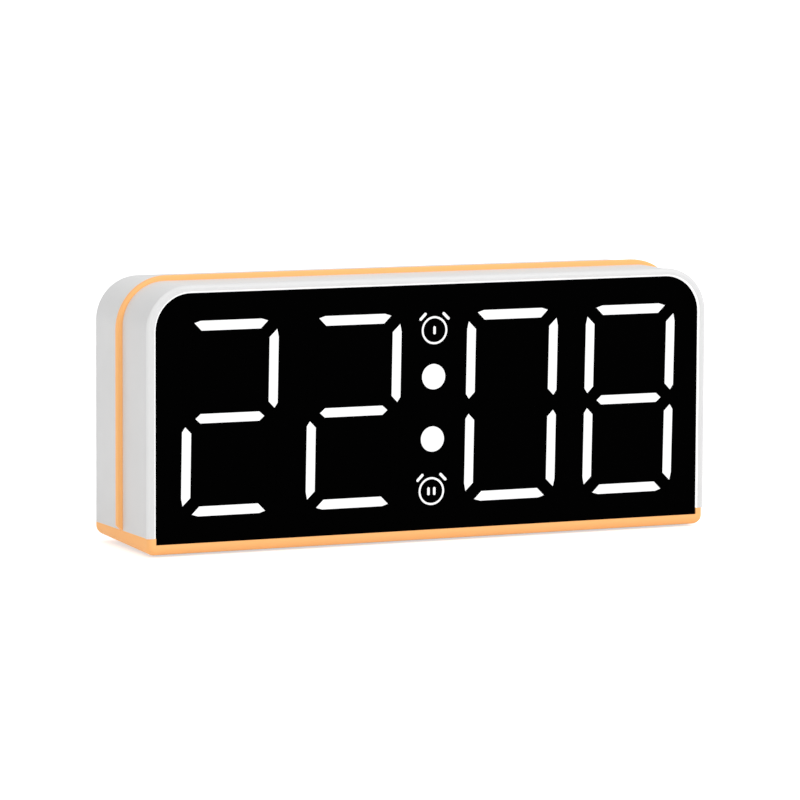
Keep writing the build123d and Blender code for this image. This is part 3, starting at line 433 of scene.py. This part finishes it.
@dataclass(frozen=True)
class SoftRubber(Skin):
    """Matt moulded rubber with a pebbled skin."""

    colour: Colour = (0.042, 0.042, 0.0432)
    clouds: Mottle = Mottle(2 * MM, 5 / 12, detail=3.0)
    roughness: float = 0.8
    grain: Grain = Grain(0.4 * MM, 0.03 * MM, strength=0.5, detail=2.0)
    specular: float = 0.25
    patches: Mottle | None = Mottle(1 * MM, 0.1)


class Finish(Enum):
    """The finishes of the clock, each named for the slot that it dresses, and the ink of the signs."""

    # the white shell has painted highlights: white emission on its bevel and left front edge
    WHITE_SHELL = ShellPlastic("white_shell", (0.82, 0.82, 0.82))
    # the orange trim has a painted glow: emission in its own colour
    ORANGE_TRIM = TrimPlastic("orange_trim", (0.98, 0.5, 0.188), roughness=0.5, specular=0.1)
    BLACK_FACE = SmokedFace("black_face")
    LIT_GUIDE = LitGuide("lit_guide")
    DARK_GUIDE = SmokedFace("dark_guide")
    REFLECTOR_WHITE = MouldedPlastic("reflector_white", (0.86, 0.86, 0.85), roughness=0.6)
    BOARD_GREEN = CircuitBoard("board_green")
    LED_CREAM = MouldedPlastic("led_cream", (0.84, 0.76, 0.46), roughness=0.3)
    CHIP_BLACK = MouldedPlastic(
        "chip_black", (0.015, 0.015, 0.016), replace(MouldedPlastic.clouds, drift=0.3), roughness=0.5
    )
    SOCKET_IVORY = MouldedPlastic("socket_ivory", (0.74, 0.69, 0.56))
    PLUNGER_GREY = MouldedPlastic("plunger_grey", (0.05, 0.05, 0.052), roughness=0.5)
    BUTTON_GREY = MouldedPlastic("button_grey", (0.52, 0.52, 0.53), roughness=0.5)
    COVER_WHITE = MouldedPlastic(
        "cover_white", (0.81, 0.81, 0.81), grain=replace(MouldedPlastic.grain, size=0.3 * MM, depth=0.01 * MM)
    )
    NICKEL = PlatedMetal("nickel", (0.68, 0.66, 0.62))
    SCREW_STEEL = PlatedMetal("screw_steel", (0.5, 0.5, 0.51), roughness=0.35)
    FOOT_RUBBER = SoftRubber("foot_rubber")
    SIGN_INK = MouldedPlastic(
        "sign_ink",
        (0.06, 0.06, 0.065),
        replace(MouldedPlastic.clouds, drift=0.15),
        roughness=0.6,
        specular=0.2,
    )


class FinishShelf:
    """Makes each finish once and lays it on CAD nodes or new pieces."""

    def __init__(self) -> None:
        """Start with no finish made."""
        self.made: dict[Finish, bpy.types.Material] = {}

    def material(self, finish: Finish) -> bpy.types.Material:
        """The material of a finish, made on first use."""
        if finish not in self.made:
            self.made[finish] = finish.value.make()
        return self.made[finish]

    def lay(self, piece: bpy.types.Object, finish: Finish) -> None:
        """Give a piece one finish all over.

        Args:
            piece: a mesh object.
            finish: what it is made of.
        """
        piece.data.materials.clear()
        piece.data.materials.append(self.material(finish))

    def lay_nodes(self, finish: Finish, *names: str) -> None:
        """Give CAD nodes one finish and report each.

        Args:
            finish: what they are made of.
            names: the nodes.
        """
        for name in names:
            self.lay(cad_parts[name], finish)
            log.info("node %s: %s", name, finish.value.name)


class FlatSign:
    """A sign printed on the rear of the clock: strokes and filled shapes with a little height.

    Its drawing is in metres, as it is read from behind: u to the reader's right and v up.
    """

    def __init__(self, centre: Point, level: float, height: float) -> None:
        """Start an empty sign.

        Args:
            centre: X and Z of its middle.
            level: Y of the surface that it lies on.
            height: how far it stands out of that surface.
        """
        self.centre = centre
        self.low = level - height
        self.high = level + height
        self.mesh = bmesh.new()

    def corner(self, point: Point, depth: float) -> bmesh.types.BMVert:
        """Add a corner at a point of the drawing and a depth along Y."""
        u, v = point
        return self.mesh.verts.new((self.centre[0] - u, depth, self.centre[1] + v))

    def filled(self, outline: list[Point]) -> None:
        """Add a filled shape.

        Args:
            outline: its corners, anticlockwise as it is read.
        """
        lower = [self.corner(p, self.low) for p in outline]
        upper = [self.corner(p, self.high) for p in outline]
        self.mesh.faces.new(upper)
        self.mesh.faces.new(list(reversed(lower)))
        for i in range(len(outline)):
            j = (i + 1) % len(outline)
            self.mesh.faces.new((lower[i], lower[j], upper[j], upper[i]))

    def stroke(self, points: list[Point], width: float, closed: bool = False) -> None:
        """Add a line of even width.

        Args:
            points: the middle of the line.
            width: how wide it is.
            closed: whether its end meets its start.
        """
        count = len(points)
        left, right = [], []
        for i, (u, v) in enumerate(points):
            before = points[i - 1] if i or closed else points[i]
            after = points[(i + 1) % count] if i < count - 1 or closed else points[i]
            run = Vector((after[0] - before[0], after[1] - before[1])).normalized()
            side = Vector((-run.y, run.x)) * width / 2
            left.append((u + side.x, v + side.y))
            right.append((u - side.x, v - side.y))
        if not closed:
            self.filled(right + list(reversed(left)))
            return
        low_left, low_right = ([self.corner(p, self.low) for p in line] for line in (left, right))
        high_left, high_right = ([self.corner(p, self.high) for p in line] for line in (left, right))
        for i in range(count):
            j = (i + 1) % count
            self.mesh.faces.new((high_right[i], high_right[j], high_left[j], high_left[i]))
            self.mesh.faces.new((low_left[i], low_left[j], low_right[j], low_right[i]))
            self.mesh.faces.new((low_right[i], low_right[j], high_right[j], high_right[i]))
            self.mesh.faces.new((high_left[i], high_left[j], low_left[j], low_left[i]))

    def finish(self, name: str, body: str, shelf: FinishShelf) -> None:
        """Close the sign, put it on its body and report it.

        Args:
            name: the piece's name.
            body: the CAD body that carries it.
            shelf: where its finish comes from.
        """
        bmesh.ops.recalc_face_normals(self.mesh, faces=self.mesh.faces)
        mesh = bpy.data.meshes.new(name)
        self.mesh.to_mesh(mesh)
        self.mesh.free()
        piece = bpy.data.objects.new(name, mesh)
        bpy.context.scene.collection.objects.link(piece)
        shelf.lay(piece, Finish.SIGN_INK)
        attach(piece, body)
        log.info("piece %s on %s", name, body)


def arc(radius: float, start: float, end: float, steps: int, centre: Point = (0.0, 0.0)) -> list[Point]:
    """Points along an arc.

    Args:
        radius: the arc's radius.
        start: its first angle, in degrees.
        end: its last angle, in degrees.
        steps: how many stretches it has.
        centre: its middle.

    Returns:
        The points, both ends included.
    """
    angles = [math.radians(start + (end - start) * i / steps) for i in range(steps + 1)]
    return [(centre[0] + radius * math.cos(a), centre[1] + radius * math.sin(a)) for a in angles]


def ring(radius: float, corners: int) -> list[Point]:
    """Points round a whole circle, each once."""
    return arc(radius, 0, 360, corners)[:-1]


def rear_middle(node: str) -> tuple[Point, float]:
    """Middle of a CAD node as seen from behind.

    Args:
        node: the node's name.

    Returns:
        X and Z of its middle, and Y of its rearmost face.
    """
    low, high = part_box(node)
    return ((low.x + high.x) / 2, (low.z + high.z) / 2), high.y


@dataclass
class CaseShells:
    """The two white shells and the cover in the rear one, with the arrows that show how it opens.

    Attributes:
        shells: the nodes of the two shells.
        cover: the cover's node.
        ink: how far the print stands out.
        arrow_radius: radius of the arrows about the cover's middle.
        arrow_line: width of their line.
        arrow_start: angle at which an arrow starts, in degrees.
        arrow_end: angle at which its line ends, in degrees.
        arrow_turns: how far each arrow is turned about the cover's middle, in degrees.
        arrow_steps: stretches of the line.
        head_length: length of an arrow's head.
        head_half: half the width of the head.
    """

    shells: tuple[str, ...] = ("front_shell", "rear_shell")
    cover: str = "battery_cover"
    ink: float = 0.04 * MM
    arrow_radius: float = 9.4 * MM
    arrow_line: float = 0.7 * MM
    arrow_start: float = 38.0
    arrow_end: float = 92.0
    arrow_turns: tuple[float, ...] = (0.0, 180.0)
    arrow_steps: int = 18
    head_length: float = 2.6 * MM
    head_half: float = 1.2 * MM

    def dress(self, shelf: FinishShelf) -> None:
        """Lay the white finishes and print the cover."""
        shelf.lay_nodes(Finish.WHITE_SHELL, *self.shells)
        shelf.lay_nodes(Finish.COVER_WHITE, self.cover)
        sign = FlatSign(*rear_middle(self.cover), self.ink)
        for turn in self.arrow_turns:
            self.draw_arrow(sign, turn)
        sign.finish("cover_sign", "cell_cover", shelf)

    def draw_arrow(self, sign: FlatSign, turn: float) -> None:
        """A curved arrow, anticlockwise as it is read.

        Args:
            sign: the sign that it belongs to.
            turn: how far it is turned about the cover's middle, in degrees.
        """
        line = arc(self.arrow_radius, self.arrow_start + turn, self.arrow_end + turn, self.arrow_steps)
        sign.stroke(line, self.arrow_line)
        end = Vector(line[-1])
        out = end.normalized()
        along = Vector((-out.y, out.x))
        corners = (end + out * self.head_half, end + along * self.head_length, end - out * self.head_half)
        sign.filled([tuple(corner) for corner in corners])


@dataclass
class OrangeTrim:
    """The band round the middle and the tray under the case."""

    pieces: tuple[str, ...] = ("trim_band", "base_tray")

    def dress(self, shelf: FinishShelf) -> None:
        """Lay the orange finish."""
        shelf.lay_nodes(Finish.ORANGE_TRIM, *self.pieces)


@dataclass
class DisplayFace:
    """The black panel with its lit and unlit light guides."""

    panel: str = "display_panel"
    lit: tuple[str, ...] = (
        "hours_tens_segments",
        "hours_units_segments",
        "minutes_tens_segments",
        "minutes_units_segments",
        "colon_dots",
        "alarm_1_icon",
        "alarm_2_icon",
    )
    unlit: str = "unlit_segments"

    def dress(self, shelf: FinishShelf) -> None:
        """Lay the face's finishes."""
        shelf.lay_nodes(Finish.BLACK_FACE, self.panel)
        shelf.lay_nodes(Finish.LIT_GUIDE, *self.lit)
        shelf.lay_nodes(Finish.DARK_GUIDE, self.unlit)


@dataclass
class InnerWorks:
    """Everything inside the case, its screws and its feet."""

    finishes: dict[Finish, tuple[str, ...]] = field(default_factory=lambda: {
        Finish.REFLECTOR_WHITE: ("reflector_block",),
        Finish.BOARD_GREEN: ("led_board", "main_board"),
        Finish.LED_CREAM: ("led_chips",),
        Finish.CHIP_BLACK: (
            "driver_chips", "controller_chip", "tact_switches", "dimmer_switch", "buzzer", "inlet_tongue",
        ),
        Finish.SOCKET_IVORY: ("ribbon_sockets", "ribbon_cable"),
        Finish.NICKEL: ("inlet_shell", "coin_cell", "crystal", "cell_base_contact", "cell_side_contact"),
        Finish.SCREW_STEEL: ("case_screws", "led_board_screws", "main_board_screws", "base_screws"),
        Finish.FOOT_RUBBER: ("rubber_feet",),
    })

    def dress(self, shelf: FinishShelf) -> None:
        """Lay each finish."""
        for finish, names in self.finishes.items():
            shelf.lay_nodes(finish, *names)


class Key(Enum):
    """The push buttons at the rear, by the first word of their CAD nodes."""

    MODE = "mode"
    ALARM = "alarm"
    UP = "up"
    DOWN = "down"
    SNOOZE = "snooze"


class Sun(Enum):
    """The signs at the two ends of the brightness slot, by the side of the slider that each is on."""

    LOW = 1
    HIGH = -1


@dataclass
class RearControls:
    """Push buttons and brightness slider, with the signs printed on and beside them.

    Attributes:
        line: width of the lines.
        ink: how far the print stands out.
        clock_radius: radius of the clock on the mode button.
        clock_corners: corners of its ring.
        minute_hand: length of its upright hand.
        hour_hand: length of its level hand.
        bell_dome: radius of the dome of the bell on the alarm button.
        bell_shoulder: level of the dome's middle.
        bell_rim: half the width of the bell's rim.
        bell_low: how far the rim lies below the middle.
        dome_steps: stretches of the dome.
        clapper_radius: radius of the clapper.
        clapper_low: how far the clapper's flat side lies below the middle.
        clapper_steps: stretches of the clapper.
        arrow_half: half the width of the arrow heads on the up and down buttons.
        arrow_height: their height.
        moon_radius: radius of the moon on the snooze button.
        moon_tip: angle of the moon's upper tip, in degrees.
        moon_bite: how far the middle of its hollow side lies to the right.
        moon_steps: stretches of its outer side.
        bite_steps: stretches of its hollow side.
        sun_radius: radius of the suns beside the slider.
        sun_corners: corners of their discs.
        sun_offset: how far they stand from the slider's middle.
        rays: rays of each sun.
        ray_line: width of a ray.
        ray_start: how far from the sun's middle a ray starts.
        ray_short: how far a ray of the low sun reaches.
        ray_long: how far a ray of the high sun reaches.
        cap_proud: how far the buttons stand out of the recess that holds them and the slider.
    """

    line: float = 0.45 * MM
    ink: float = 0.04 * MM
    clock_radius: float = 1.7 * MM
    clock_corners: int = 48
    minute_hand: float = 1.054 * MM
    hour_hand: float = 0.935 * MM
    bell_dome: float = 1.025 * MM
    bell_shoulder: float = 0.4375 * MM
    bell_rim: float = 1.5 * MM
    bell_low: float = 1.0625 * MM
    dome_steps: int = 16
    clapper_radius: float = 0.475 * MM
    clapper_low: float = 1.3125 * MM
    clapper_steps: int = 10
    arrow_half: float = 1.7 * MM
    arrow_height: float = 2.6 * MM
    moon_radius: float = 1.75 * MM
    moon_tip: float = 60.0
    moon_bite: float = 0.875 * MM
    moon_steps: int = 32
    bite_steps: int = 24
    sun_radius: float = 0.55 * MM
    sun_corners: int = 24
    sun_offset: float = 5.6 * MM
    rays: int = 8
    ray_line: float = 0.27 * MM
    ray_start: float = 0.85 * MM
    ray_short: float = 1.0075 * MM
    ray_long: float = 1.3 * MM
    cap_proud: float = 0.7 * MM

    def dress(self, shelf: FinishShelf) -> None:
        """Lay the finishes of buttons, plungers and slider, and print the signs."""
        shelf.lay_nodes(Finish.BUTTON_GREY, *(f"{key.value}_button" for key in Key), "dimmer_knob")
        shelf.lay_nodes(Finish.PLUNGER_GREY, *(f"{key.value}_plunger" for key in Key))
        for key in Key:
            self.print_key(key, shelf)
        for sun in Sun:
            self.print_sun(sun, shelf)

    def print_key(self, key: Key, shelf: FinishShelf) -> None:
        """Print the sign on one button's cap.

        Args:
            key: the button.
            shelf: where the ink comes from.
        """
        sign = FlatSign(*rear_middle(f"{key.value}_button"), self.ink)
        draw = {
            Key.MODE: self.draw_clock,
            Key.ALARM: self.draw_bell,
            Key.UP: self.draw_up,
            Key.DOWN: self.draw_down,
            Key.SNOOZE: self.draw_moon,
        }[key]
        draw(sign)
        sign.finish(f"{key.value}_sign", f"{key.value}_key", shelf)

    def draw_clock(self, sign: FlatSign) -> None:
        """A round clock with two hands."""
        sign.stroke(ring(self.clock_radius, self.clock_corners), self.line, closed=True)
        sign.stroke([(0, -self.line / 2), (0, self.minute_hand)], self.line)
        sign.stroke([(self.line / 2, 0), (self.hour_hand, 0)], self.line)

    def draw_bell(self, sign: FlatSign) -> None:
        """A bell with its rim and clapper."""
        dome = arc(self.bell_dome, 0, 180, self.dome_steps, (0, self.bell_shoulder))
        sign.filled([(self.bell_rim, -self.bell_low), *dome, (-self.bell_rim, -self.bell_low)])
        sign.filled(arc(self.clapper_radius, 180, 360, self.clapper_steps, (0, -self.clapper_low)))

    def draw_up(self, sign: FlatSign) -> None:
        """A solid arrow head that points up."""
        half, rise = self.arrow_half, self.arrow_height / 2
        sign.filled([(-half, -rise), (half, -rise), (0, rise)])

    def draw_down(self, sign: FlatSign) -> None:
        """A solid arrow head that points down."""
        half, rise = self.arrow_half, self.arrow_height / 2
        sign.filled([(half, rise), (-half, rise), (0, -rise)])

    def draw_moon(self, sign: FlatSign) -> None:
        """A crescent moon."""
        outer = arc(self.moon_radius, self.moon_tip, 360 - self.moon_tip, self.moon_steps)
        bite_centre = (self.moon_bite, 0.0)
        tip_u, tip_v = outer[0]
        reach = math.dist(outer[0], bite_centre)
        turn = math.degrees(math.atan2(tip_v, tip_u - self.moon_bite))
        inner = arc(reach, -turn, turn - 360, self.bite_steps, bite_centre)
        sign.filled([*outer, *inner[1:-1]])

    def print_sun(self, sun: Sun, shelf: FinishShelf) -> None:
        """Print a sun at one end of the brightness slot.

        Args:
            sun: the low sun, with short rays, or the high one, with long rays.
            shelf: where the ink comes from.
        """
        (knob_x, knob_z), _ = rear_middle("dimmer_knob")
        _, cap_face = rear_middle("mode_button")
        middle = (knob_x + sun.value * self.sun_offset, knob_z)
        sign = FlatSign(middle, cap_face - self.cap_proud, self.ink)
        sign.filled(ring(self.sun_radius, self.sun_corners))
        reach = self.ray_long if sun is Sun.HIGH else self.ray_short
        for start, end in zip(ring(self.ray_start, self.rays), ring(reach, self.rays)):
            sign.stroke([start, end], self.ray_line)
        sign.finish(f"sun_{sun.name.lower()}_sign", "case", shelf)


@dataclass(frozen=True)
class Lamp:
    """A square soft light that faces the clock.

    Attributes:
        name: its name.
        place: where it stands, in metres.
        size: its side, in metres.
        power: its power, in watts.
    """

    name: str
    place: Triple
    size: float
    power: float

    def add(self) -> None:
        """Add the light, turned to the middle of the clock."""
        data = bpy.data.lights.new(self.name, "AREA")
        data.size = self.size
        data.energy = self.power
        lamp = bpy.data.objects.new(self.name, data)
        bpy.context.scene.collection.objects.link(lamp)
        aim = Vector((0, 0, CAD_BOX[1][2] / 2)) - Vector(self.place)
        turn = aim.to_track_quat("-Z", "Y").to_matrix().to_4x4()
        lamp.matrix_world = Matrix.Translation(self.place) @ turn


@dataclass
class Studio:
    """Floor, lights, world and camera.

    The camera's numbers were fitted to the edges of the case in the photograph.

    Attributes:
        stand: the point that the camera is placed from, in metres.
        yaw: how far the camera stands round to the right of the face, in degrees.
        elevation: how far it looks down, in degrees.
        roll: how far it leans, in degrees.
        distance: how far it stands back, in metres.
        slide_right: how far it is moved to its right, in metres.
        slide_up: how far it is moved up, in metres.
        lens: its focal length, in millimetres.
        sensor: the width of its picture plane, in millimetres.
        sight: how far it sees, in metres.
        floor_size: the floor's side, in metres.
        floor_colour: the floor's colour, linear.
        floor_clouds: how that colour drifts.
        floor_roughness: the floor's roughness.
        floor_lift: brightness that the floor gains where it is seen or reflected.
        world_light: brightness of the room's even light.
        world_shown: brightness of the room where it is seen or reflected.
        lamps: the lights.
    """

    stand: Triple = (0.0, -18.8 * MM, 1.0 * MM)
    yaw: float = -24.7
    elevation: float = 6.365
    roll: float = 0.267
    distance: float = 1.2778
    slide_right: float = -8.484 * MM
    slide_up: float = 36.03 * MM
    lens: float = 221.2
    sensor: float = 36.0
    sight: float = 100.0
    floor_size: float = 30.0
    floor_colour: Colour = (0.86, 0.86, 0.86)
    floor_clouds: Mottle = Mottle(0.4, 0.005)
    floor_roughness: float = 0.9
    floor_lift: float = 0.6
    world_light: float = 0.9
    world_shown: float = 1.0
    lamps: tuple[Lamp, ...] = (
        Lamp("key_light", (0.9, -1.6, 1.3), 1.4, 17.5),
        Lamp("top_light", (-0.2, 0.3, 1.8), 1.4, 1.5),
    )

    def axes(self) -> tuple[Vector, Vector, Vector]:
        """Right, up and backward directions of the camera."""
        turn, tilt, lean = (math.radians(a) for a in (self.yaw, self.elevation, self.roll))
        back = Vector((math.sin(turn) * math.cos(tilt), -math.cos(turn) * math.cos(tilt), math.sin(tilt)))
        right = (-back).cross(Vector((0, 0, 1))).normalized()
        up = right.cross(-back)
        rolled_right = right * math.cos(lean) + up * math.sin(lean)
        rolled_up = -right * math.sin(lean) + up * math.cos(lean)
        return rolled_right, rolled_up, back

    def add_camera(self) -> None:
        """Add the camera at the photograph's viewing angle."""
        right, up, back = self.axes()
        data = bpy.data.cameras.new("camera")
        data.lens = self.lens
        data.sensor_width = self.sensor
        data.sensor_fit = "HORIZONTAL"
        data.clip_end = self.sight
        camera = bpy.data.objects.new("camera", data)
        bpy.context.scene.collection.objects.link(camera)
        place = Vector(self.stand) + right * self.slide_right + up * self.slide_up + back * self.distance
        turn = Matrix((right, up, back)).transposed().to_4x4()
        camera.matrix_world = Matrix.Translation(place) @ turn
        bpy.context.scene.camera = camera

    def add_floor(self) -> None:
        """Add a plain pale floor that takes the clock's shadow."""
        half = self.floor_size / 2
        corners = [(-half, -half, 0), (half, -half, 0), (half, half, 0), (-half, half, 0)]
        mesh = bpy.data.meshes.new("floor")
        mesh.from_pydata(corners, [], [range(len(corners))])
        floor = bpy.data.objects.new("floor", mesh)
        bpy.context.scene.collection.objects.link(floor)
        graph = Graph("studio_floor")
        shader = graph.surface(
            Roughness=self.floor_roughness, Specular_IOR_Level=0.0, Emission_Color=WHITE
        )
        tone = graph.drifting_colour(self.floor_colour, self.floor_clouds)
        graph.link(tone, shader.inputs["Base Color"])
        path = graph.tree.nodes.new("ShaderNodeLightPath")
        seen = graph.work_out("MAXIMUM", path.outputs["Is Camera Ray"], path.outputs["Is Glossy Ray"])
        graph.link(graph.work_out("MULTIPLY", seen, self.floor_lift), shader.inputs["Emission Strength"])
        mesh.materials.append(graph.material)

    def add_world(self) -> None:
        """Fill the room with even light, and show it white to the camera and in reflections."""
        world = bpy.data.worlds.new("studio")
        bpy.context.scene.world = world
        world.use_nodes = True
        tree = world.node_tree
        tree.nodes.clear()
        path = tree.nodes.new("ShaderNodeLightPath")
        background = tree.nodes.new("ShaderNodeBackground")
        strength = tree.nodes.new("ShaderNodeMapRange")
        strength.inputs["To Min"].default_value = self.world_light
        strength.inputs["To Max"].default_value = self.world_shown
        seen = path.outputs["Is Camera Ray"]
        for ray in ("Is Glossy Ray", "Is Transmission Ray"):
            either = tree.nodes.new("ShaderNodeMath")
            either.operation = "MAXIMUM"
            tree.links.new(seen, either.inputs[0])
            tree.links.new(path.outputs[ray], either.inputs[1])
            seen = either.outputs[0]
        tree.links.new(seen, strength.inputs["Value"])
        tree.links.new(strength.outputs[0], background.inputs["Strength"])
        output = tree.nodes.new("ShaderNodeOutputWorld")
        tree.links.new(background.outputs[0], output.inputs["Surface"])

    def build(self) -> None:
        """Set up the whole studio."""
        self.add_camera()
        self.add_floor()
        self.add_world()
        for lamp in self.lamps:
            lamp.add()
        bpy.context.scene.view_settings.view_transform = "Standard"


def main() -> None:
    """Dress every sub-assembly in turn, then set up the studio."""
    shelf = FinishShelf()
    for part in (CaseShells(), OrangeTrim(), DisplayFace(), InnerWorks(), RearControls()):
        part.dress(shelf)
    Studio().build()


if __name__ == "__main__":
    main()
